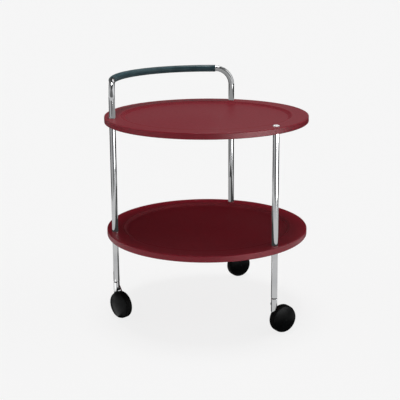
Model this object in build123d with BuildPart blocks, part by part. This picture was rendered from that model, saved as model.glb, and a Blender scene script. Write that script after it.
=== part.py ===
from build123d import *
import math
import os

# Round two-tier serving trolley on three casters, in millimetres, +Z up.
# The origin is on the floor under the middle of the trays. The single leg stands at the front, towards -Y,
# and the handle joins the left and right legs at the back, towards +Y.

# Trays: lacquered boards with a flat rim round a shallow sunk field
tray_diameter = 530.0
tray_thickness = 16.0
tray_edge_radius = 2.0
field_depth = 5.0
field_slope_run = 6.0
lip_radius = 4.0
cove_radius = 8.0
top_tray_height = 531.0
bottom_tray_height = 231.0

# Tubes of the legs and the handle, and the rim left on each side of a leg
tube_diameter = 16.0
tube_wall = 1.5
leg_edge_margin = 11.0
leg_field_margin = 18.0
leg_angles = {"front": -90.0, "right": 30.0, "left": 150.0}

# Handle: rise of its level stretch over the top tray, and the sleeve on that stretch
handle_rise = 90.0
handle_bend_radius = 45.0
grip_thickness = 1.6
grip_end_radius = 0.6

# Plugs in the tube ends, and the studs that pull them together through the trays
plug_length = 20.0
stud_diameter = 8.0
stud_reach = 16.0
stud_hole_gap = 0.5
cap_head_height = 2.4
cap_edge_radius = 0.6

# Fits: play of fixed fits and of turning fits, each on the radius, and the gap between turning end faces
fit_gap = 0.05
running_gap = 0.06
thrust_gap = 0.15

# Caster swivel: bush in the leg's end, stem in the neck, ring on the stem
swivel_drop = 58.75
bush_length = 32.0
bush_flange_thickness = 2.6
bush_flange_inset = 0.6
stem_diameter = 8.0
stem_seat_depth = 16.0
stem_tip_length = 3.0
stem_tip_chamfer = 0.8
stem_ring_thickness = 1.0
stem_ring_groove = 0.7
stem_ring_play = 0.5
stem_ring_slit = 2.5

# Caster neck: round at the top, hollowed to the wheel's round below, with one arm behind the wheel
neck_step = 0.2
neck_length = 38.0
neck_edge_radius = 0.8
neck_wheel_gap = 2.0
arm_thickness = 3.8
arm_bite = 3.0
arm_head_drop = 16.0
arm_head_diameter = 11.0
arm_side_gap = 0.8
arm_edge_radius = 0.7
arm_boss_diameter = 18.0

# Wheel: its axle lies behind the swivel line by the trail, and its face points along the heading
wheel_diameter = 70.5
wheel_trail = 23.0
wheel_headings = {"front": -102.0, "right": -103.0, "left": -178.0}
tread_width = 18.0
tyre_thickness = 7.25
tyre_shoulder_radius = 3.5
core_rim_thickness = 3.5
core_rim_setback = 1.0
web_thickness = 3.0
web_offset = 2.0
hub_diameter = 17.0
hub_setback = 1.6
rib_count = 6
rib_thickness = 2.0
rib_depth = 7.0
rib_root = 1.0
axle_diameter = 8.0
axle_head_diameter = 12.0
axle_head_thickness = 1.6
axle_head_round = 0.8
axle_tip_length = 1.5
axle_ring_diameter = 15.0
axle_ring_thickness = 1.0
dome_height = 8.0
cap_rim_thickness = 1.4
cap_wall = 2.0
cap_inset = 1.6
cap_rim_round = 0.5
cap_skirt_thickness = 1.8

# Sizes that follow from those above
tray_radius = tray_diameter / 2
tube_radius = tube_diameter / 2
tube_bore_radius = tube_radius - tube_wall
leg_circle_radius = tray_radius - leg_edge_margin - tube_radius
lip_reach = leg_circle_radius - tube_radius - leg_field_margin
field_reach = lip_reach - field_slope_run
stud_radius = stud_diameter / 2
top_tray_underside = top_tray_height - tray_thickness
bottom_tray_underside = bottom_tray_height - tray_thickness
wheel_radius = wheel_diameter / 2
leg_end_height = wheel_radius + swivel_drop

os.makedirs("parts", exist_ok=True)


def level_way(angle):
    """Level unit vector at an angle from +X, in degrees."""
    return Vector(math.cos(math.radians(angle)), math.sin(math.radians(angle)), 0)


def leg_point(angle, height):
    """Point on the axis of the leg at an angle, at a height over the floor."""
    return level_way(angle) * leg_circle_radius + Vector(0, 0, height)


def write(piece, name):
    """Label a finished piece and write it under its own name."""
    piece.part.label = name
    export_step(piece.part, f"parts/{name}.step")


# Trays
for tray_name, tray_top in {"top_tray": top_tray_height, "bottom_tray": bottom_tray_height}.items():
    with BuildPart() as tray:
        with BuildSketch(Plane.XZ) as tray_section:
            with BuildLine():
                Polyline(
                    (0, tray_top - tray_thickness),
                    (tray_radius, tray_top - tray_thickness),
                    (tray_radius, tray_top),
                    (lip_reach, tray_top),
                    (field_reach, tray_top - field_depth),
                    (0, tray_top - field_depth),
                    close=True,
                )
            make_face()
            fillet(tray_section.vertices().group_by(Axis.X)[-1], tray_edge_radius)
            lip_corner = (lip_reach, tray_top)
            fillet(tray_section.vertices().sort_by_distance(lip_corner)[0], lip_radius)
            cove_corner = (field_reach, tray_top - field_depth)
            fillet(tray_section.vertices().sort_by_distance(cove_corner)[0], cove_radius)
        revolve(axis=Axis.Z)
        with Locations([leg_point(angle, tray_top) for angle in leg_angles.values()]):
            Hole(stud_radius + stud_hole_gap)
    write(tray, tray_name)

# Legs: an upper tube between the trays and a lower tube under the bottom tray, at each of the three places
for side, angle in leg_angles.items():
    with BuildPart() as upper_leg:
        with BuildSketch(Plane(leg_point(angle, bottom_tray_height))):
            Circle(tube_radius)
            Circle(tube_bore_radius, mode=Mode.SUBTRACT)
        extrude(amount=top_tray_underside - bottom_tray_height)
    write(upper_leg, f"{side}_upper_leg")

    with BuildPart() as lower_leg:
        with BuildSketch(Plane(leg_point(angle, leg_end_height))):
            Circle(tube_radius)
            Circle(tube_bore_radius, mode=Mode.SUBTRACT)
        extrude(amount=bottom_tray_underside - leg_end_height)
    write(lower_leg, f"{side}_lower_leg")

# Handle: up from the right leg, round a bend into a level arch, and down to the left leg.
# The bends end where the arch's tangent begins, so the arch runs a little inside the circle of the legs.
arch_radius = math.sqrt(leg_circle_radius**2 - handle_bend_radius**2)
bend_turn = math.degrees(math.atan2(handle_bend_radius, arch_radius))
arch_start = leg_angles["right"] + bend_turn
arch_end = leg_angles["left"] - bend_turn
arch_lift = Vector(0, 0, top_tray_height + handle_rise)
arch_first = level_way(arch_start) * arch_radius + arch_lift
arch_middle = level_way((arch_start + arch_end) / 2) * arch_radius + arch_lift
arch_last = level_way(arch_end) * arch_radius + arch_lift
knee_height = top_tray_height + handle_rise - handle_bend_radius

with BuildPart() as handle_tube:
    with BuildLine():
        Line(leg_point(leg_angles["right"], top_tray_height), leg_point(leg_angles["right"], knee_height))
        TangentArc(leg_point(leg_angles["right"], knee_height), arch_first, tangent=(0, 0, 1))
        ThreePointArc(arch_first, arch_middle, arch_last)
        TangentArc(arch_last, leg_point(leg_angles["left"], knee_height), tangent=level_way(arch_end + 90))
        Line(leg_point(leg_angles["left"], knee_height), leg_point(leg_angles["left"], top_tray_height))
    with BuildSketch(Plane(leg_point(leg_angles["right"], top_tray_height))):
        Circle(tube_radius)
        Circle(tube_bore_radius, mode=Mode.SUBTRACT)
    sweep()
write(handle_tube, "handle_tube")

with BuildPart() as handle_grip:
    with BuildSketch(Plane(origin=arch_first, x_dir=level_way(arch_start), z_dir=level_way(arch_start + 90))):
        Circle(tube_radius + grip_thickness)
        Circle(tube_radius + fit_gap, mode=Mode.SUBTRACT)
    revolve(axis=Axis.Z, revolution_arc=arch_end - arch_start)
    grip_ends = handle_grip.faces().filter_by(GeomType.PLANE)
    fillet([end.outer_wire().edge() for end in grip_ends], grip_end_radius)
write(handle_grip, "handle_grip")


# Threaded plugs in the tube ends
def plug_ends(heights, angles):
    """Plugs of one length, standing up from each height on the axis of each leg."""
    with BuildPart() as plugs:
        for angle in angles:
            for height in heights:
                with BuildSketch(Plane(leg_point(angle, height))):
                    Circle(tube_bore_radius - fit_gap)
                    Circle(stud_radius + fit_gap, mode=Mode.SUBTRACT)
                extrude(amount=plug_length)
    return plugs


handle_angles = [leg_angles["right"], leg_angles["left"]]
write(plug_ends([top_tray_height], handle_angles), "handle_plugs")
upper_leg_ends = [bottom_tray_height, top_tray_underside - plug_length]
write(plug_ends(upper_leg_ends, leg_angles.values()), "upper_leg_plugs")
write(plug_ends([bottom_tray_underside - plug_length], leg_angles.values()), "lower_leg_plugs")


# Studs through the trays, screwed into the plug above and the plug below
def tray_studs(underside, angles):
    """Studs through one tray, on the axes of the legs at some angles."""
    with BuildPart() as studs:
        for angle in angles:
            with BuildSketch(Plane(leg_point(angle, underside - stud_reach))):
                Circle(stud_radius)
            extrude(amount=tray_thickness + 2 * stud_reach)
    return studs


write(tray_studs(top_tray_underside, handle_angles), "top_tray_studs")
write(tray_studs(bottom_tray_underside, leg_angles.values()), "bottom_tray_studs")

# Cap over the front leg: a flat head as wide as the tube, on a shank screwed into the leg's upper plug
with BuildPart() as front_leg_cap:
    with BuildSketch(Plane(leg_point(leg_angles["front"], top_tray_height))):
        Circle(tube_radius)
    extrude(amount=cap_head_height)
    fillet(front_leg_cap.faces().sort_by(Axis.Z)[-1].edges(), cap_edge_radius)
    with BuildSketch(Plane(leg_point(leg_angles["front"], top_tray_height))):
        Circle(stud_radius)
    extrude(amount=-tray_thickness - stud_reach)
write(front_leg_cap, "front_leg_cap")

# Heights of the swivel, and places along the axle measured from the middle of the tread
neck_top = leg_end_height - bush_flange_thickness - thrust_gap
neck_radius = tube_radius - neck_step
wheel_offset = arm_bite - neck_radius + arm_side_gap + tread_width / 2
bush_top = leg_end_height + bush_length
stem_radius = stem_diameter / 2
stem_ring_base = bush_top + thrust_gap
stem_top = stem_ring_base + stem_ring_thickness + stem_tip_length
axle_radius = axle_diameter / 2
arm_face = -tread_width / 2 - arm_side_gap
arm_back = arm_face - arm_thickness
hub_back = arm_face + thrust_gap
hub_front = tread_width / 2 - hub_setback
axle_end = hub_front + thrust_gap + axle_ring_thickness + axle_tip_length
cap_seat = tread_width / 2
cap_skirt_end = web_offset + web_thickness + fit_gap
dome_top = cap_seat + dome_height

# Radii of the wheel, from the tread inwards, and the round of its domed cap
core_radius = wheel_radius - tyre_thickness
core_bore_radius = core_radius - core_rim_thickness
core_rim_width = tread_width - 2 * core_rim_setback
hub_radius = hub_diameter / 2
hub_bore_radius = axle_radius + running_gap
rib_length = core_bore_radius - hub_radius + 2 * rib_root
cap_radius = wheel_radius - cap_inset
cap_skirt_radius = core_bore_radius - fit_gap
cap_skirt_bore = cap_skirt_radius - cap_skirt_thickness
dome_rise = dome_height - cap_rim_thickness
dome_round = (cap_radius**2 + dome_rise**2) / (2 * dome_rise)
inner_dome_top = dome_top - cap_wall
inner_dome_edge = inner_dome_top - dome_round + math.sqrt(dome_round**2 - cap_skirt_bore**2)

# Casters: the same one under each leg, turned to its own heading
for side, angle in leg_angles.items():
    floor_plane = Plane(origin=leg_point(angle, 0), x_dir=level_way(wheel_headings[side]))
    axle_way = floor_plane.x_dir
    trail_way = floor_plane.y_dir
    wheel_middle = floor_plane.from_local_coords((wheel_offset, wheel_trail, wheel_radius))
    axle_line = Axis(wheel_middle, axle_way)
    wheel_plane = Plane(origin=wheel_middle, x_dir=trail_way, z_dir=axle_way)
    wheel_section = Plane(origin=wheel_middle, x_dir=(0, 0, 1), z_dir=trail_way)

    # Bush: pressed into the leg's end, with a flange that shows as a dark ring
    with BuildPart() as caster_bush:
        with BuildSketch(floor_plane.offset(leg_end_height)):
            Circle(tube_bore_radius - fit_gap)
        extrude(amount=bush_length)
        with BuildSketch(floor_plane.offset(leg_end_height)):
            Circle(tube_radius - bush_flange_inset)
        extrude(amount=-bush_flange_thickness)
        with Locations(floor_plane.offset(leg_end_height)):
            Hole(stem_radius + running_gap)
    write(caster_bush, f"{side}_caster_bush")

    # Stem: steel pin with a groove for its ring
    with BuildPart() as caster_stem:
        with BuildSketch(floor_plane.offset(neck_top - stem_seat_depth)):
            Circle(stem_radius)
        extrude(amount=stem_top - neck_top + stem_seat_depth)
        chamfer(caster_stem.faces().sort_by(Axis.Z)[-1].edges(), stem_tip_chamfer)
        with BuildSketch(floor_plane.offset(stem_ring_base)):
            Circle(stem_radius + fit_gap)
            Circle(stem_radius - stem_ring_groove, mode=Mode.SUBTRACT)
        extrude(amount=stem_ring_thickness, mode=Mode.SUBTRACT)
    write(caster_stem, f"{side}_caster_stem")

    # Ring: split ring in the stem's groove, over the bush
    with BuildPart() as stem_ring:
        with BuildSketch(floor_plane.offset(stem_ring_base)):
            Circle(tube_bore_radius - stem_ring_play)
            Circle(stem_radius - stem_ring_groove + fit_gap, mode=Mode.SUBTRACT)
            with Locations((tube_bore_radius / 2, 0)):
                Rectangle(tube_bore_radius, stem_ring_slit, mode=Mode.SUBTRACT)
        extrude(amount=stem_ring_thickness)
    write(stem_ring, f"{side}_stem_ring")

    # Neck: round bar cut to the wheel's round, with the arm that carries the axle behind the wheel
    with BuildPart() as caster_neck:
        with BuildSketch(floor_plane.offset(neck_top)):
            Circle(neck_radius)
        extrude(amount=-neck_length)
        fillet(caster_neck.faces().sort_by(Axis.Z)[-1].edges(), neck_edge_radius)
        with BuildSketch(wheel_plane):
            Circle(wheel_radius + neck_wheel_gap)
        extrude(amount=wheel_radius, both=True, mode=Mode.SUBTRACT)
        with BuildSketch(wheel_plane.offset(arm_face)):
            Circle(arm_boss_diameter / 2)
            with Locations((-wheel_trail, neck_top - arm_head_drop - wheel_radius)):
                Circle(arm_head_diameter / 2)
            make_hull()
        extrude(amount=-arm_thickness)
        fillet(caster_neck.faces().sort_by(axle_line)[0].edges(), arm_edge_radius)
        with Locations(floor_plane.offset(neck_top)):
            Hole(stem_radius + fit_gap, depth=stem_seat_depth)
        with Locations(wheel_plane.offset(arm_face)):
            Hole(axle_radius + fit_gap)
    write(caster_neck, f"{side}_caster_neck")

    # Axle: headed pin through the arm, and the ring that keeps the wheel on it
    with BuildPart() as wheel_axle:
        with BuildSketch(wheel_plane.offset(arm_back)):
            Circle(axle_head_diameter / 2)
        extrude(amount=-axle_head_thickness)
        fillet(wheel_axle.faces().sort_by(axle_line)[0].edges(), axle_head_round)
        with BuildSketch(wheel_plane.offset(arm_back)):
            Circle(axle_radius)
        extrude(amount=axle_end - arm_back)
    write(wheel_axle, f"{side}_wheel_axle")

    with BuildPart() as axle_ring:
        with BuildSketch(wheel_plane.offset(hub_front + thrust_gap)):
            Circle(axle_ring_diameter / 2)
            Circle(axle_radius + fit_gap, mode=Mode.SUBTRACT)
        extrude(amount=axle_ring_thickness)
    write(axle_ring, f"{side}_axle_ring")

    # Wheel core: rim, web and hub in one moulding, with ribs on the side of the arm
    with BuildPart() as wheel_core:
        with BuildSketch(wheel_section):
            with Locations((core_bore_radius, 0)):
                Rectangle(core_rim_thickness, core_rim_width, align=(Align.MIN, Align.CENTER))
            with Locations((hub_bore_radius, web_offset)):
                Rectangle(core_radius - hub_bore_radius, web_thickness, align=Align.MIN)
            with Locations((hub_bore_radius, hub_back)):
                Rectangle(hub_radius - hub_bore_radius, hub_front - hub_back, align=Align.MIN)
        revolve(axis=axle_line)
        with BuildSketch(wheel_plane.offset(web_offset)):
            with PolarLocations((hub_radius + core_bore_radius) / 2, rib_count):
                Rectangle(rib_length, rib_thickness)
        extrude(amount=-rib_depth)
    write(wheel_core, f"{side}_wheel_core")

    # Tyre: rubber tread ring on the core
    with BuildPart() as tyre:
        with BuildSketch(wheel_section) as tyre_section:
            with Locations((core_radius + fit_gap, 0)):
                Rectangle(tyre_thickness - fit_gap, tread_width, align=(Align.MIN, Align.CENTER))
            fillet(tyre_section.vertices().group_by(Axis.X)[-1], tyre_shoulder_radius)
        revolve(axis=axle_line)
    write(tyre, f"{side}_tyre")

    # Cap: domed face, snapped into the core's rim by a short skirt
    with BuildPart() as wheel_cap:
        with BuildSketch(wheel_section) as cap_section:
            with BuildLine():
                TangentArc((0, dome_top), (cap_radius, cap_seat + cap_rim_thickness), tangent=(1, 0))
                Polyline(
                    (cap_radius, cap_seat + cap_rim_thickness),
                    (cap_radius, cap_seat),
                    (cap_skirt_radius, cap_seat),
                    (cap_skirt_radius, cap_skirt_end),
                    (cap_skirt_bore, cap_skirt_end),
                    (cap_skirt_bore, inner_dome_edge),
                )
                TangentArc((0, inner_dome_top), (cap_skirt_bore, inner_dome_edge), tangent=(1, 0))
                Line((0, inner_dome_top), (0, dome_top))
            make_face()
            fillet(cap_section.vertices().group_by(Axis.X)[-1], cap_rim_round)
        revolve(axis=axle_line)
    write(wheel_cap, f"{side}_wheel_cap")
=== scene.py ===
import math

import bmesh
import bpy
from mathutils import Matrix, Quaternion, Vector


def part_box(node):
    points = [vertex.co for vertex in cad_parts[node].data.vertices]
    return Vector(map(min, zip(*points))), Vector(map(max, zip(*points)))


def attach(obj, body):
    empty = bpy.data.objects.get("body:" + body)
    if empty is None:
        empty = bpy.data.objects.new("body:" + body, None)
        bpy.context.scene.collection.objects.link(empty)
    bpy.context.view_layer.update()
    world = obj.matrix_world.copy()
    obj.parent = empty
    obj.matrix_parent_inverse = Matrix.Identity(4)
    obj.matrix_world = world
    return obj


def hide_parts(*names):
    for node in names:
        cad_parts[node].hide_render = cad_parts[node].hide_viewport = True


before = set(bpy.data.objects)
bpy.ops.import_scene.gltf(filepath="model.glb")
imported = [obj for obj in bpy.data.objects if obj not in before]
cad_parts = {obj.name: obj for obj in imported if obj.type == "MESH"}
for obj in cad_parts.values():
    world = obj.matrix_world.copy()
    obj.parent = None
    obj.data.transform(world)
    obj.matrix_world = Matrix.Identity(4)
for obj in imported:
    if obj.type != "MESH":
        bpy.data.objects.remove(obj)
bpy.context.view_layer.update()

# Trays: two round boards of fibreboard, routed to a shallow field inside a flat rim.
# Each is sprayed with several coats of burgundy lacquer and rubbed down to a satin gloss.
# The lacquer stays dull on the sloped lip, where a darker band is painted as the shade on the recess wall. It
# is thinnest at the outer edge.


def add_node(home, kind, feeds=None, **settings):
    """One node of a finish, of the sky or of a tree, with its settings by attribute.

    Feeds are sockets or values, by the name or the number of the node's input.
    """
    tree = getattr(home, "node_tree", home)
    node = tree.nodes.new(kind)
    for key, value in settings.items():
        setattr(node, key, value)
    for key, value in (feeds or {}).items():
        if isinstance(value, bpy.types.NodeSocket):
            tree.links.new(value, node.inputs[key])
        else:
            node.inputs[key].default_value = value
    return node


def start_finish(name):
    """A new node material, with its shader and its Object coordinates."""
    finish = bpy.data.materials.new(name)
    finish.use_nodes = True
    shader = finish.node_tree.nodes["Principled BSDF"]
    place = add_node(finish, "ShaderNodeTexCoord").outputs["Object"]
    return finish, shader, place


def speckle(finish, place, per_metre, detail, stretch=(1.0, 1.0, 1.0)):
    """Soft noise over a piece, counted in blots per metre, drawn out along an axis by a small stretch."""
    drawn = add_node(finish, "ShaderNodeMapping", {"Vector": place, "Scale": stretch})
    feeds = {"Vector": drawn.outputs["Vector"], "Scale": per_metre, "Detail": detail}
    return add_node(finish, "ShaderNodeTexNoise", feeds).outputs["Fac"]


def spread(home, source, low, high, source_low=0.3, source_high=0.7, smooth=False):
    """A number that runs from low to high as its source runs over a span."""
    feeds = {"Value": source, "From Min": source_low, "From Max": source_high, "To Min": low, "To Max": high}
    curve = "SMOOTHSTEP" if smooth else "LINEAR"
    return add_node(home, "ShaderNodeMapRange", feeds, interpolation_type=curve).outputs["Result"]


def reckon(home, operation, *terms):
    """A number worked out from one or two others."""
    return add_node(home, "ShaderNodeMath", dict(enumerate(terms)), operation=operation).outputs["Value"]


def tint(home, share, from_colour, to_colour):
    """A colour between two others, by a share. Each of the two is a colour or another node's socket."""
    feeds = {"Factor": share}
    for socket, colour in ((6, from_colour), (7, to_colour)):
        linked = isinstance(colour, bpy.types.NodeSocket)
        feeds[socket] = colour if linked else (*colour, 1.0)
    return add_node(home, "ShaderNodeMix", feeds, data_type="RGBA").outputs[2]


def feed(finish, source, shader, socket):
    """Join a source to one of the shader's own inputs."""
    finish.node_tree.links.new(source, shader.inputs[socket])


def relief(finish, shader, height, depth):
    """Fine relief of a real depth, in metres, on the shader's surface."""
    bump = add_node(finish, "ShaderNodeBump", {"Height": height, "Distance": depth, "Strength": 1.0})
    feed(finish, bump.outputs["Normal"], shader, "Normal")


def dress(finish, *nodes):
    """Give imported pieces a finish."""
    for node in nodes:
        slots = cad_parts[node].data.materials
        slots.clear()
        slots.append(finish)


lacquer_deep = (0.222, 0.0042, 0.0150)
lacquer_warm = (0.238, 0.0054, 0.0170)
lacquer_lip_shade = (0.120, 0.0016, 0.0065)
lacquer_thin = (0.310, 0.026, 0.044)
lacquer_gloss = 0.32
rubbed_roughness = (0.36, 0.41)
tray_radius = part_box("top_tray")[1].x
edge_width = 0.0022
edge_thinning = 0.12
lip_middle = 0.2170
lip_flat = 0.0036
lip_reach = 0.0068
lip_shade_share = 0.22
lip_dullness = 0.40

lacquer, lacquer_shader, lacquer_place = start_finish("burgundy_lacquer")
mottle = speckle(lacquer, lacquer_place, per_metre=38.0, detail=6.0)
body_colour = tint(lacquer, spread(lacquer, mottle, 0.0, 1.0), lacquer_deep, lacquer_warm)
level_feeds = {0: lacquer_place, 1: (1.0, 1.0, 0.0)}
level_place = add_node(lacquer, "ShaderNodeVectorMath", level_feeds, operation="MULTIPLY").outputs["Vector"]
from_axis = add_node(lacquer, "ShaderNodeVectorMath", {0: level_place}, operation="LENGTH").outputs["Value"]
from_lip = reckon(lacquer, "ABSOLUTE", reckon(lacquer, "SUBTRACT", from_axis, lip_middle))
# Painted shade: a darker band of lacquer along the field's sloped lip, standing for the shade on the recess
# wall.
painted_lip_shade = spread(lacquer, from_lip, lip_shade_share, 0.0, lip_flat, lip_reach, smooth=True)
edge_start = tray_radius - edge_width
thinned = spread(lacquer, from_axis, 0.0, edge_thinning, edge_start, tray_radius, smooth=True)
shaded_slope_colour = tint(lacquer, painted_lip_shade, body_colour, lacquer_lip_shade)
feed(lacquer, tint(lacquer, thinned, shaded_slope_colour, lacquer_thin), lacquer_shader, "Base Color")
rubbing = speckle(lacquer, lacquer_place, per_metre=160.0, detail=4.0)
rubbed = spread(lacquer, rubbing, *rubbed_roughness)
unrubbed = spread(lacquer, from_lip, lip_dullness, 0.0, lip_flat, lip_reach, smooth=True)
feed(lacquer, reckon(lacquer, "ADD", rubbed, unrubbed), lacquer_shader, "Roughness")
lacquer_shader.inputs["Specular IOR Level"].default_value = lacquer_gloss
spray = speckle(lacquer, lacquer_place, per_metre=650.0, detail=2.0)
relief(lacquer, lacquer_shader, spray, depth=0.000012)
dress(lacquer, "bottom_tray", "top_tray")

# Legs, handle tube and caster necks: steel tube and bar, polished and plated with bright chrome.
# Studs and plugs inside the tubes clamp them to the trays, and each neck hangs on its stem in a leg's end.
# The plating keeps faint lengthwise polishing lines and the smears of hands and cloths.
sides = ("front", "right", "left")
chrome_bright = (0.51, 0.515, 0.52)
chrome_smeared = (0.44, 0.445, 0.455)
chrome_roughness = (0.045, 0.11)
smear_span = (0.45, 0.75)
line_stretch = (1.0, 1.0, 0.02)


def vary(finish, shader, blots, colours, roughness, colour_span=(0.3, 0.7)):
    """Colour and gloss that wander together over a piece, each between two ends."""
    share = spread(finish, blots, 0.0, 1.0, *colour_span)
    feed(finish, tint(finish, share, *colours), shader, "Base Color")
    feed(finish, spread(finish, blots, *roughness), shader, "Roughness")


chrome, chrome_shader, chrome_place = start_finish("bright_chrome")
smear = speckle(chrome, chrome_place, per_metre=22.0, detail=5.0)
vary(chrome, chrome_shader, smear, (chrome_bright, chrome_smeared), chrome_roughness, smear_span)
chrome_shader.inputs["Metallic"].default_value = 1.0
polish = speckle(chrome, chrome_place, per_metre=900.0, detail=2.0, stretch=line_stretch)
relief(chrome, chrome_shader, polish, depth=0.000002)
dress(chrome, "handle_tube")
for side in sides:
    dress(chrome, f"{side}_upper_leg", f"{side}_lower_leg", f"{side}_caster_neck")

# Front leg cap: a flat steel button, pressed into the stud hole over the front leg.
# Its face is blasted and plated to a pale satin, so it takes the light from overhead.
satin_pale = (0.95, 0.95, 0.95)
satin_dull = (0.88, 0.88, 0.88)
side_roughness = 0.12
face_roughness = 0.66
face_span = (0.5, 0.95)
blast_grain = (0.94, 1.06)

satin, satin_shader, satin_place = start_finish("satin_plate")
blasting = speckle(satin, satin_place, per_metre=1800.0, detail=2.0)
satin_colour = tint(satin, spread(satin, blasting, 0.0, 1.0), satin_pale, satin_dull)
feed(satin, satin_colour, satin_shader, "Base Color")
satin_shader.inputs["Metallic"].default_value = 1.0
facing = add_node(satin, "ShaderNodeNewGeometry").outputs["Normal"]
upward = add_node(satin, "ShaderNodeSeparateXYZ", {"Vector": facing}).outputs["Z"]
blasted = spread(satin, upward, side_roughness, face_roughness, *face_span, smooth=True)
grained = reckon(satin, "MULTIPLY", blasted, spread(satin, blasting, *blast_grain))
feed(satin, grained, satin_shader, "Roughness")
relief(satin, satin_shader, blasting, depth=0.00001)
dress(satin, "front_leg_cap")

# Plugs, studs, stems, rings and axles: turned steel with a bright zinc coat.
# They hold the trolley together inside the tubes, and only the axles' heads and rings can be seen.
zinc_pale = (0.56, 0.57, 0.58)
zinc_dull = (0.40, 0.41, 0.41)
zinc_roughness = (0.28, 0.42)

zinc, zinc_shader, zinc_place = start_finish("zinc_plate")
spangle = speckle(zinc, zinc_place, per_metre=420.0, detail=4.0)
vary(zinc, zinc_shader, spangle, (zinc_pale, zinc_dull), zinc_roughness)
zinc_shader.inputs["Metallic"].default_value = 1.0
relief(zinc, zinc_shader, spangle, depth=0.000006)
dress(zinc, "handle_plugs", "upper_leg_plugs", "lower_leg_plugs", "top_tray_studs", "bottom_tray_studs")
for side in sides:
    dress(zinc, f"{side}_caster_stem", f"{side}_stem_ring", f"{side}_wheel_axle", f"{side}_axle_ring")

# Grip: one strip of dark slate calfskin, wrapped round the level stretch of the handle.
# Its long edges meet in a butt seam under the tube, and its ends are turned in and pressed flat.
grip_low, grip_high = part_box("handle_grip")
sleeve_radius = (grip_high.z - grip_low.z) / 2
arch_height = (grip_high.z + grip_low.z) / 2
arch_radius = grip_high.y - sleeve_radius
sleeve_start = math.acos(grip_high.x / (arch_radius + sleeve_radius))
sleeve_stop = math.pi - sleeve_start
tube_low, tube_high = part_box("front_upper_leg")
skin_play = 0.00006
skin_bore = (tube_high.x - tube_low.x) / 2 + skin_play
steps_along = 220
steps_around = 72
even_steps = 0.7
crowded_steps = 0.3
full_turn = 2 * math.pi
turned_end = 0.0011
end_draw = 0.55
seam_turn = math.radians(-90.0)
seam_width = math.radians(9.0)
seam_depth = 0.00055
crease_depth = 0.00012
crease_count = 61.0
crease_sway = 2.0
crease_swell = 23.0
crisp_edge = math.radians(40.0)


def way_out(bearing):
    """The level way at a bearing about the trays' axis."""
    return Vector((math.cos(bearing), math.sin(bearing), 0.0))


def arch_frame(turn):
    """Middle of the handle at a turn about the trays' axis, with its outward way."""
    outward = way_out(turn)
    return outward * arch_radius + Vector((0.0, 0.0, arch_height)), outward


def skin_reach(turn, round_turn):
    """Radius of the leather's outer face: drawn in at the seam and the ends, faintly creased between."""
    from_end = min(turn - sleeve_start, sleeve_stop - turn) * arch_radius
    end_fall = max(0.0, 1.0 - from_end / turned_end)
    end_round = (sleeve_radius - skin_bore) * (1.0 - math.sqrt(max(0.0, 1.0 - end_fall**2))) * end_draw
    off_seam = math.remainder(round_turn - seam_turn, full_turn)
    seam_fall = seam_depth * math.exp(-((off_seam / seam_width) ** 2))
    fine = math.sin(turn * crease_count + crease_sway * math.sin(round_turn))
    creases = 0.5 + 0.5 * fine * math.sin(turn * crease_swell - round_turn)
    inner_side = max(0.0, -math.cos(round_turn))
    return sleeve_radius - end_round - seam_fall - crease_depth * inner_side * creases


def skin_point(turn, round_turn, radius):
    """A point at a radius from the handle's middle line."""
    middle, outward = arch_frame(turn)
    return middle + (outward * math.cos(round_turn) + Vector((0.0, 0.0, math.sin(round_turn)))) * radius


def off_strip(point):
    """Turns of a point along the handle's arch and round its tube, counted from the seam."""
    turn = math.atan2(point.y, point.x)
    middle, outward = arch_frame(turn)
    off = point - middle
    return turn, (math.atan2(off.z, off.dot(outward)) - seam_turn) % full_turn


def set_piece(name, shape):
    """A new object at the origin that shows a shape."""
    piece = bpy.data.objects.new(name, shape)
    bpy.context.scene.collection.objects.link(piece)
    return piece


sleeve = bmesh.new()
outer_rings = []
inner_rings = []
for step in range(steps_along + 1):
    share = step / steps_along
    crowded = 0.5 - 0.5 * math.cos(math.pi * share)
    turn = sleeve_start + (sleeve_stop - sleeve_start) * (even_steps * share + crowded_steps * crowded)
    outer_ring = []
    inner_ring = []
    for place in range(steps_around):
        round_turn = full_turn * place / steps_around
        outer_ring.append(sleeve.verts.new(skin_point(turn, round_turn, skin_reach(turn, round_turn))))
        inner_ring.append(sleeve.verts.new(skin_point(turn, round_turn, skin_bore)))
    outer_rings.append(outer_ring)
    inner_rings.append(inner_ring)
ring_pairs = []
for step in range(steps_along):
    ring_pairs.append((outer_rings[step], outer_rings[step + 1]))
    ring_pairs.append((inner_rings[step], inner_rings[step + 1]))
ring_pairs.append((outer_rings[0], inner_rings[0]))
ring_pairs.append((outer_rings[-1], inner_rings[-1]))
for ring, next_ring in ring_pairs:
    for place in range(steps_around):
        after = (place + 1) % steps_around
        sleeve.faces.new((ring[place], ring[after], next_ring[after], next_ring[place]))
bmesh.ops.recalc_face_normals(sleeve, faces=sleeve.faces)
strip_map = sleeve.loops.layers.uv.new("strip")
for face in sleeve.faces:
    face.smooth = True
    face_round = off_strip(face.calc_center_median())[1]
    for loop in face.loops:
        turn, round_turn = off_strip(loop.vert.co)
        round_turn += full_turn * round((face_round - round_turn) / full_turn)
        loop[strip_map].uv = (turn * arch_radius, round_turn * sleeve_radius)
for edge in sleeve.edges:
    edge.smooth = edge.calc_face_angle(0.0) < crisp_edge
sleeve_mesh = bpy.data.meshes.new("leather_grip")
sleeve.to_mesh(sleeve_mesh)
sleeve.free()
leather_grip = set_piece("leather_grip", sleeve_mesh)

# The pale hide colour marks worn spots from handling, and also the painted highlight streaks along the drawn
# lines.
hide_dark = (0.0030, 0.0340, 0.0450)
hide_worn_and_highlit = (0.0260, 0.0800, 0.0960)
hide_gloss = 0.38
hide_roughness = (0.46, 0.34)
wear_and_highlight_span = (0.75, 1.30)
strip_stretch = (0.016, 1.0, 1.0)
line_height = 9.0
pebbles_per_metre = 900.0
pebble_span = (0.0, 0.25)

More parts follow.
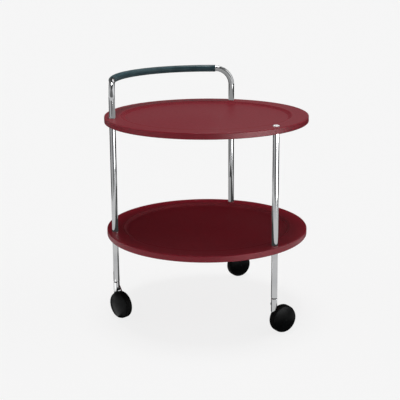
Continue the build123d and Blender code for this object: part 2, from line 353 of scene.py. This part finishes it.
leather, leather_shader, leather_place = start_finish("slate_calfskin")
handling = speckle(leather, leather_place, per_metre=35.0, detail=5.0)
strip_place = add_node(leather, "ShaderNodeUVMap", uv_map="strip").outputs["UV"]
# Drawn lines: fine lengthwise lines in the hide, raised in the relief and painted paler as streaks of
# highlight along the grip.
drawn_lines_and_streak_highlights = speckle(leather, strip_place, per_metre=300.0, detail=2.0, stretch=strip_stretch)
wear_and_streak_highlight_share = spread(leather, reckon(leather, "ADD", handling, drawn_lines_and_streak_highlights), 0.0, 1.0, *wear_and_highlight_span)
feed(leather, tint(leather, wear_and_streak_highlight_share, hide_dark, hide_worn_and_highlit), leather_shader, "Base Color")
feed(leather, spread(leather, handling, *hide_roughness), leather_shader, "Roughness")
leather_shader.inputs["Specular IOR Level"].default_value = hide_gloss
pebble_feeds = {"Vector": leather_place, "Scale": pebbles_per_metre}
pebbles = add_node(leather, "ShaderNodeTexVoronoi", pebble_feeds, feature="DISTANCE_TO_EDGE")
pebble_height = spread(leather, pebbles.outputs["Distance"], 0.0, 1.0, *pebble_span, smooth=True)
pores = speckle(leather, leather_place, per_metre=2600.0, detail=2.0)
pebbled = reckon(leather, "ADD", pebble_height, pores)
skin_height = reckon(leather, "ADD", pebbled, spread(leather, drawn_lines_and_streak_highlights, 0.0, line_height))
relief(leather, leather_shader, skin_height, depth=0.00004)
sleeve_mesh.materials.append(leather)
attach(leather_grip, "frame")
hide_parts("handle_grip")

# Grip stitches: two rows of waxed black thread, one on each side of the butt seam.
# Each stitch is a short bar of thread that dips into its holes at both ends.
stitch_pitch = 0.0040
stitch_length = 0.0027
thread_radius = 0.00032
thread_sink = 0.2
row_offset = math.radians(15.0)
row_end_gap = math.radians(1.0)
thread_dark = (0.010, 0.011, 0.012)
thread_worn = (0.022, 0.023, 0.024)
thread_roughness = (0.50, 0.65)

thread, thread_shader, thread_place = start_finish("waxed_thread")
twist = speckle(thread, thread_place, per_metre=3200.0, detail=2.0)
vary(thread, thread_shader, twist, (thread_dark, thread_worn), thread_roughness)
relief(thread, thread_shader, twist, depth=0.00008)

stitch_tree = bpy.data.node_groups.new("stitch_row", "GeometryNodeTree")


def tree_socket(name, kind, in_out="INPUT"):
    """A named input or output of the stitch tree."""
    return stitch_tree.interface.new_socket(name, in_out=in_out, socket_type=f"NodeSocket{kind}")


tree_socket("Row", "Geometry")
pitch_input = tree_socket("Pitch", "Float")
length_input = tree_socket("Stitch Length", "Float")
radius_input = tree_socket("Thread Radius", "Float")
finish_input = tree_socket("Thread", "Material")
tree_socket("Stitches", "Geometry", in_out="OUTPUT")

row_in = add_node(stitch_tree, "NodeGroupInput").outputs
row_curve = add_node(stitch_tree, "GeometryNodeMeshToCurve", {"Mesh": row_in["Row"]})
point_feeds = {"Curve": row_curve.outputs["Curve"], "Length": row_in["Pitch"]}
row_points = add_node(stitch_tree, "GeometryNodeCurveToPoints", point_feeds, mode="LENGTH")
bar = add_node(stitch_tree, "GeometryNodeMeshUVSphere", {"Segments": 10, "Rings": 8, "Radius": 1.0})
half_length = reckon(stitch_tree, "MULTIPLY", row_in["Stitch Length"], 0.5)
bar_feeds = {"X": row_in["Thread Radius"], "Y": row_in["Thread Radius"], "Z": half_length}
bar_size = add_node(stitch_tree, "ShaderNodeCombineXYZ", bar_feeds)
sew_feeds = {
    "Points": row_points.outputs["Points"],
    "Instance": bar.outputs["Mesh"],
    "Rotation": row_points.outputs["Rotation"],
    "Scale": bar_size.outputs["Vector"],
}
sewn_bars = add_node(stitch_tree, "GeometryNodeInstanceOnPoints", sew_feeds)
real_feeds = {"Geometry": sewn_bars.outputs["Instances"]}
real_bars = add_node(stitch_tree, "GeometryNodeRealizeInstances", real_feeds)
soft_feeds = {"Geometry": real_bars.outputs["Geometry"]}
soft_bars = add_node(stitch_tree, "GeometryNodeSetShadeSmooth", soft_feeds)
thread_feeds = {"Geometry": soft_bars.outputs["Geometry"], "Material": row_in["Thread"]}
thread_bars = add_node(stitch_tree, "GeometryNodeSetMaterial", thread_feeds)
add_node(stitch_tree, "NodeGroupOutput", {"Stitches": thread_bars.outputs["Geometry"]})

row_holes = []
row_edges = []
row_start = sleeve_start + row_end_gap
row_span = sleeve_stop - sleeve_start - 2 * row_end_gap
for row_turn in (seam_turn - row_offset, seam_turn + row_offset):
    first = len(row_holes)
    for step in range(steps_along + 1):
        turn = row_start + row_span * step / steps_along
        row_holes.append(skin_point(turn, row_turn, skin_reach(turn, row_turn) - thread_sink * thread_radius))
    row_edges += [(first + step, first + step + 1) for step in range(steps_along)]
row_mesh = bpy.data.meshes.new("stitch_rows")
row_mesh.from_pydata(row_holes, row_edges, [])
stitch_rows = set_piece("stitch_rows", row_mesh)
sewing = stitch_rows.modifiers.new("sewing", "NODES")
sewing.node_group = stitch_tree
sewing[pitch_input.identifier] = stitch_pitch
sewing[length_input.identifier] = stitch_length
sewing[radius_input.identifier] = thread_radius
sewing[finish_input.identifier] = thread
bpy.context.view_layer.update()
sewn = stitch_rows.evaluated_get(bpy.context.evaluated_depsgraph_get())
stitch_mesh = bpy.data.meshes.new_from_object(sewn)
bpy.data.objects.remove(stitch_rows)
grip_stitches = set_piece("grip_stitches", stitch_mesh)
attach(grip_stitches, "frame")

# Bushes and wheel cores: black glass-filled nylon, moulded with a dull eroded skin.
# The bush is pressed into the leg's end, and the core carries the tyre and turns on the axle.
nylon_black = (0.014, 0.014, 0.015)
nylon_grey = (0.026, 0.026, 0.027)
nylon_roughness = (0.48, 0.62)

nylon, nylon_shader, nylon_place = start_finish("black_nylon")
flow = speckle(nylon, nylon_place, per_metre=90.0, detail=4.0)
vary(nylon, nylon_shader, flow, (nylon_black, nylon_grey), nylon_roughness)
eroded = speckle(nylon, nylon_place, per_metre=2400.0, detail=2.0)
relief(nylon, nylon_shader, eroded, depth=0.00003)
for side in sides:
    dress(nylon, f"{side}_caster_bush", f"{side}_wheel_core")

# Tyres: soft black rubber rings, moulded round the rims of the wheel cores.
# Their treads have a faint moulded grain and are dull with the dust of floors.
rubber_black = (0.0032, 0.0032, 0.0032)
rubber_dusty = (0.0085, 0.0083, 0.0080)
rubber_roughness = (0.55, 0.75)
rubber_gloss = 0.06
dust_span = (0.45, 0.8)

rubber, rubber_shader, rubber_place = start_finish("tread_rubber")
dust = speckle(rubber, rubber_place, per_metre=120.0, detail=6.0)
vary(rubber, rubber_shader, dust, (rubber_black, rubber_dusty), rubber_roughness, dust_span)
rubber_shader.inputs["Specular IOR Level"].default_value = rubber_gloss
rubber_skin = speckle(rubber, rubber_place, per_metre=1500.0, detail=3.0)
relief(rubber, rubber_shader, rubber_skin, depth=0.00005)
for side in sides:
    dress(rubber, f"{side}_tyre")

# Wheel caps: black domed covers, moulded in one piece and snapped into the wheel's rim.
# Their satin skin takes a soft grey sheen, with faint rubbed spots from floors and feet.
dome_black = (0.0016, 0.0019, 0.0021)
dome_rubbed = (0.0032, 0.0036, 0.0038)
dome_roughness = (0.30, 0.36)
dome_gloss = 0.055

dome, dome_shader, dome_place = start_finish("satin_dome")
rubs = speckle(dome, dome_place, per_metre=70.0, detail=6.0)
vary(dome, dome_shader, rubs, (dome_black, dome_rubbed), dome_roughness)
dome_shader.inputs["Specular IOR Level"].default_value = dome_gloss
spark = speckle(dome, dome_place, per_metre=3000.0, detail=2.0)
relief(dome, dome_shader, spark, depth=0.00002)
for side in sides:
    dress(dome, f"{side}_wheel_cap")

# Camera: a long lens that looks in between the left and front legs, from a little above the handle.
# Its place, aim and length were fitted to the outlines of the trays, the legs and the handle.
camera_bearing = math.radians(-133.158)
camera_distance = 2.3237
camera_height = 0.9291
look_bearing = math.radians(47.268)
look_drop = math.radians(12.636)
look_roll = math.radians(-0.337)
lens_shift = -0.1
focal_pixels = 904.88
frame_pixels = 400.0
sensor_width = 36.0

camera = set_piece("camera", bpy.data.cameras.new("camera"))
camera.data.sensor_width = sensor_width
camera.data.lens = sensor_width * focal_pixels / frame_pixels
camera.data.shift_y = lens_shift
camera.location = way_out(camera_bearing) * camera_distance + Vector((0.0, 0.0, camera_height))
look = way_out(look_bearing) * math.cos(look_drop) - Vector((0.0, 0.0, math.sin(look_drop)))
camera.rotation_mode = "QUATERNION"
camera.rotation_quaternion = look.to_track_quat("-Z", "Y") @ Quaternion((0.0, 0.0, 1.0), look_roll)
bpy.context.scene.camera = camera

# Floor: a sheet of pale paper that runs out past the horizon, with the trolley standing on it.
# The camera and all gloss see its even pale tone, with a small share of the lit paper and its shadow.
shadow_share = 0.16
floor_albedo = 0.65
floor_glow = 0.984
floor_reach = 80.0


def bare_finish(name):
    """A new node material with an empty tree."""
    finish = bpy.data.materials.new(name)
    finish.use_nodes = True
    finish.node_tree.nodes.clear()
    return finish


def set_stage(name, corners, faces, finish):
    """One flat piece of the stage, which isn't part of the trolley."""
    mesh = bpy.data.meshes.new(name)
    mesh.from_pydata(corners, [], faces)
    mesh.materials.append(finish)
    board = set_piece(name, mesh)
    return board


paper = bare_finish("pale_paper")
lit_feeds = {"Color": (floor_albedo, floor_albedo, floor_albedo, 1.0)}
lit_paper = add_node(paper, "ShaderNodeBsdfDiffuse", lit_feeds).outputs["BSDF"]
pale_glow = add_node(paper, "ShaderNodeEmission", {"Strength": floor_glow}).outputs["Emission"]
shown_feeds = {"Fac": shadow_share, 1: pale_glow, 2: lit_paper}
shown_paper = add_node(paper, "ShaderNodeMixShader", shown_feeds).outputs["Shader"]
ray = add_node(paper, "ShaderNodeLightPath").outputs
seen = reckon(paper, "MAXIMUM", ray["Is Camera Ray"], ray["Is Glossy Ray"])
seen_through = reckon(paper, "MAXIMUM", seen, ray["Is Transmission Ray"])
paper_feeds = {"Fac": seen_through, 1: lit_paper, 2: shown_paper}
paper_face = add_node(paper, "ShaderNodeMixShader", paper_feeds).outputs["Shader"]
add_node(paper, "ShaderNodeOutputMaterial", {"Surface": paper_face})
floor_corners = [
    (-floor_reach, -floor_reach, 0.0),
    (floor_reach, -floor_reach, 0.0),
    (floor_reach, floor_reach, 0.0),
    (-floor_reach, floor_reach, 0.0),
]
set_stage("floor", floor_corners, [(0, 1, 2, 3)], paper)

# Reflection cards: grey, black and white boards that stand bent round the trolley, out of the picture.
# Only gloss sees them. They draw the light and dark stripes of a studio down the polished tubes.
card_steps = 24
# Each row: name, radius, first and last turn off the camera in degrees, foot, top, level.
cards = (
    ("card_front", 1.30, -36.0, 16.0, 0.03, 0.50, 0.26),
    ("card_end", 1.30, -132.0, -84.0, 0.03, 0.50, 0.10),
    ("card_left", 1.30, -84.0, -36.0, 0.03, 0.50, 0.70),
    ("card_strip", 1.30, 30.0, 64.0, 0.07, 0.42, 6.00),
    ("card_wide", 1.29, 18.0, 84.0, 0.290, 0.322, 28.00),
    ("card_right", 1.30, 70.0, 136.0, 0.02, 0.50, 0.06),
    ("card_back", 0.62, 118.0, 238.0, 0.02, 0.54, 0.00),
    ("card_far", 1.30, 118.0, 238.0, 0.54, 1.05, 0.20),
    ("card_crown", 1.30, 144.0, 180.0, 1.55, 2.50, 2.10),
)


def set_card(name, corners, faces, level, one_sided=False):
    """One glowing card that polished and glossy surfaces see, from both sides or from its front only."""
    finish = bare_finish(name)
    face = add_node(finish, "ShaderNodeEmission", {"Strength": level}).outputs["Emission"]
    if one_sided:
        clear = add_node(finish, "ShaderNodeBsdfTransparent").outputs["BSDF"]
        behind = add_node(finish, "ShaderNodeNewGeometry").outputs["Backfacing"]
        face = add_node(finish, "ShaderNodeMixShader", {"Fac": behind, 1: face, 2: clear}).outputs["Shader"]
    add_node(finish, "ShaderNodeOutputMaterial", {"Surface": face})
    card = set_stage(name, corners, faces, finish)
    card.visible_camera = False
    card.visible_diffuse = False
    card.visible_shadow = False
    card.visible_transmission = False


def set_bent_card(name, middle, bearing, radius, from_turn, to_turn, foot, top, level):
    """A standing card, bent round a middle from one turn off a bearing to another."""
    corners = []
    for step in range(card_steps + 1):
        turn = math.radians(from_turn + (to_turn - from_turn) * step / card_steps)
        point = middle + way_out(bearing + turn) * radius
        corners.append((point.x, point.y, foot))
        corners.append((point.x, point.y, top))
    faces = [(2 * step, 2 * step + 2, 2 * step + 3, 2 * step + 1) for step in range(card_steps)]
    set_card(name, corners, faces, level)


for card_name, *card_sizes in cards:
    set_bent_card(card_name, Vector(), camera_bearing, *card_sizes)

# Tray sheets: round grey sheets that lie just above the trays, with a paler fan by the right leg's foot.
# Only gloss sees them, and only from above, so the tubes mirror grey there and not the burgundy.
sheet_lift = 0.0004
sheet_steps = 96
sheet_levels = {"top_tray": 0.50, "bottom_tray": 0.07}
fan_reach = 0.31
fan_start = -120.0
fan_width = 112.0
fan_level = 0.60


def node_middle(node):
    """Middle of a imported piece's box."""
    low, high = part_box(node)
    return (low + high) / 2


def lens_bearing(point):
    """Bearing from a point of the trolley to the camera."""
    to_lens = camera.location - point
    return math.atan2(to_lens.y, to_lens.x)


def flat_corner(middle, bearing, reach, height):
    """A corner of a lying sheet, off a middle at a bearing and a reach."""
    point = middle + way_out(bearing) * reach
    return point.x, point.y, height


for tray, sheet_level in sheet_levels.items():
    sheet_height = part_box(tray)[1].z + sheet_lift
    sheet_corners = []
    for step in range(sheet_steps):
        sheet_corners.append(flat_corner(Vector(), full_turn * step / sheet_steps, tray_radius, sheet_height))
    set_card(f"sheet_{tray}", sheet_corners, [tuple(range(sheet_steps))], sheet_level, one_sided=True)

low_tray_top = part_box("bottom_tray")[1].z
fan_height = low_tray_top + 2 * sheet_lift
right_leg = node_middle("right_upper_leg")
right_bearing = lens_bearing(right_leg)
fan_corners = [(right_leg.x, right_leg.y, fan_height)]
for step in range(card_steps + 1):
    turn = math.radians(fan_start + fan_width * step / card_steps)
    fan_corners.append(flat_corner(right_leg, right_bearing + turn, fan_reach, fan_height))
set_card("sheet_fan", fan_corners, [tuple(range(card_steps + 2))], fan_level, one_sided=True)

# Masks: two narrow dark strips that stand just in front of the right leg and of the post's foot above it.
# Only gloss sees them, from the camera's side, so the lacquer there keeps no pale smear of the tubes.
mask_lead = 0.012
mask_half = 0.010
post_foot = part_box("top_tray")[1].z
post_mask = 0.035
masks = (
    ("mask_leg", low_tray_top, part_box("right_upper_leg")[1].z, 0.02),
    ("mask_post", post_foot, post_foot + post_mask, 0.06),
)

right_way = Vector((math.sin(look_bearing), -math.cos(look_bearing), 0.0))
mask_middle = right_leg + way_out(right_bearing) * mask_lead
mask_left = mask_middle - right_way * mask_half
mask_right = mask_middle + right_way * mask_half
for mask_name, mask_foot, mask_top, mask_level in masks:
    mask_corners = [
        (mask_left.x, mask_left.y, mask_foot),
        (mask_right.x, mask_right.y, mask_foot),
        (mask_right.x, mask_right.y, mask_top),
        (mask_left.x, mask_left.y, mask_top),
    ]
    set_card(mask_name, mask_corners, [(0, 1, 2, 3)], mask_level, one_sided=True)

# Floor flags: dark sheets on the floor beside the left and front legs, and a pale one by the left wheel.
# Only gloss sees them. The dark ones are a painted shadow of the trolley on the floor, seen as a dark line
# down each lower leg. The pale one gives the wheel's cap its grey sheen, together with a low pale card that
# stands round it.
shadow_flag_lift = 0.003
sheen_lift = 0.004
# Each row: name, piece beside it, first and last turn off the lens in degrees, near, far, height, level.
floor_flags = (
    ("shadow_flag_left", "left_lower_leg", 58.0, 124.0, 0.14, 0.60, shadow_flag_lift, 0.10),
    ("shadow_flag_front", "front_lower_leg", -142.0, -97.0, 0.14, 0.80, shadow_flag_lift, 0.03),
    ("flag_sheen", "left_wheel_cap", -128.0, -40.0, 0.005, 0.20, sheen_lift, 1.80),
)
# Radius, first and last turn off the lens in degrees, foot, top, level.
sheen_card = (0.12, -125.0, -45.0, 0.026, 0.054, 2.00)

for flag_name, beside, from_turn, to_turn, near, far, flag_height, flag_level in floor_flags:
    flag_middle = node_middle(beside)
    flag_bearing = lens_bearing(flag_middle)
    flag_corners = []
    for turn, flag_reach in ((from_turn, near), (to_turn, near), (to_turn, far), (from_turn, far)):
        bearing = flag_bearing + math.radians(turn)
        flag_corners.append(flat_corner(flag_middle, bearing, flag_reach, flag_height))
    set_card(flag_name, flag_corners, [(0, 1, 2, 3)], flag_level)
left_cap = node_middle("left_wheel_cap")
set_bent_card("card_sheen", left_cap, lens_bearing(left_cap), *sheen_card)

# Light: a soft studio sky, pale along the horizon, with a small bright softbox overhead.
# It is open on the right and on the left, dim in front of the trolley and darkest behind it.
sky_strength = 26.0
softbox_level = 25.0
softbox_lean = math.radians(4.5)
softbox_edge = math.radians(11.0)
softbox_core = math.radians(4.0)
back_span = (0.15, 0.75)
near_span = (-0.15, -0.75)
right_span = (-0.5, 0.5)
horizon_level = 0.922
# Stops of the sky: degrees above the horizon and level.
horizon = ((0.0, horizon_level), (8.5, horizon_level))
crown = ((60.0, 0.10), (90.0, 0.10))
near_stops = (*horizon, (11.0, 0.22), (45.0, 0.22), *crown)
right_stops = (*horizon, (13.0, 1.40), (45.0, 1.40), *crown)
left_stops = (*horizon, (13.0, 0.75), (45.0, 0.75), *crown)
back_stops = (*horizon, (10.5, 0.06), (60.0, 0.06), (90.0, 0.10))

sky = bpy.data.worlds.new("studio")
bpy.context.scene.world = sky
sky.use_nodes = True
direction = add_node(sky, "ShaderNodeTexCoord").outputs["Generated"]
sky_height = add_node(sky, "ShaderNodeSeparateXYZ", {"Vector": direction}).outputs["Z"]
rise_share = reckon(sky, "DIVIDE", reckon(sky, "ARCSINE", sky_height), math.pi / 2)


def sky_ramp(stops):
    """Brightness by elevation, from stops of degrees and level."""
    node = add_node(sky, "ShaderNodeValToRGB", {"Fac": rise_share})
    ramp = node.color_ramp
    ramp.interpolation = "EASE"
    while len(ramp.elements) < len(stops):
        ramp.elements.new(0.5)
    for element, (degrees, level) in zip(ramp.elements, stops):
        element.position = degrees / 90.0
        element.color = (level / sky_strength, level / sky_strength, level / sky_strength, 1.0)
    return node.outputs["Color"]


def toward(way):
    """How far a direction of the sky points a way, from -1 to 1."""
    node = add_node(sky, "ShaderNodeVectorMath", {0: direction, 1: way}, operation="DOT_PRODUCT")
    return node.outputs["Value"]


back_way = way_out(look_bearing)
toward_back = toward(back_way)
right_share = spread(sky, toward(right_way), 0.0, 1.0, *right_span, smooth=True)
near_share = spread(sky, toward_back, 0.0, 1.0, *near_span, smooth=True)
back_share = spread(sky, toward_back, 0.0, 1.0, *back_span, smooth=True)
side_sky = tint(sky, right_share, sky_ramp(left_stops), sky_ramp(right_stops))
front_sky = tint(sky, near_share, side_sky, sky_ramp(near_stops))
whole_sky = tint(sky, back_share, front_sky, sky_ramp(back_stops))
softbox_way = back_way * math.sin(softbox_lean) + Vector((0.0, 0.0, math.cos(softbox_lean)))
softbox_span = (math.cos(softbox_edge), math.cos(softbox_core))
softbox = spread(sky, toward(softbox_way), 0.0, softbox_level / sky_strength, *softbox_span, smooth=True)
lit_sky = add_node(sky, "ShaderNodeVectorMath", {0: whole_sky, 1: softbox}, operation="ADD").outputs["Vector"]
backdrop = sky.node_tree.nodes["Background"]
feed(sky, lit_sky, backdrop, "Color")
backdrop.inputs["Strength"].default_value = sky_strength

bpy.context.scene.view_settings.view_transform = "Standard"
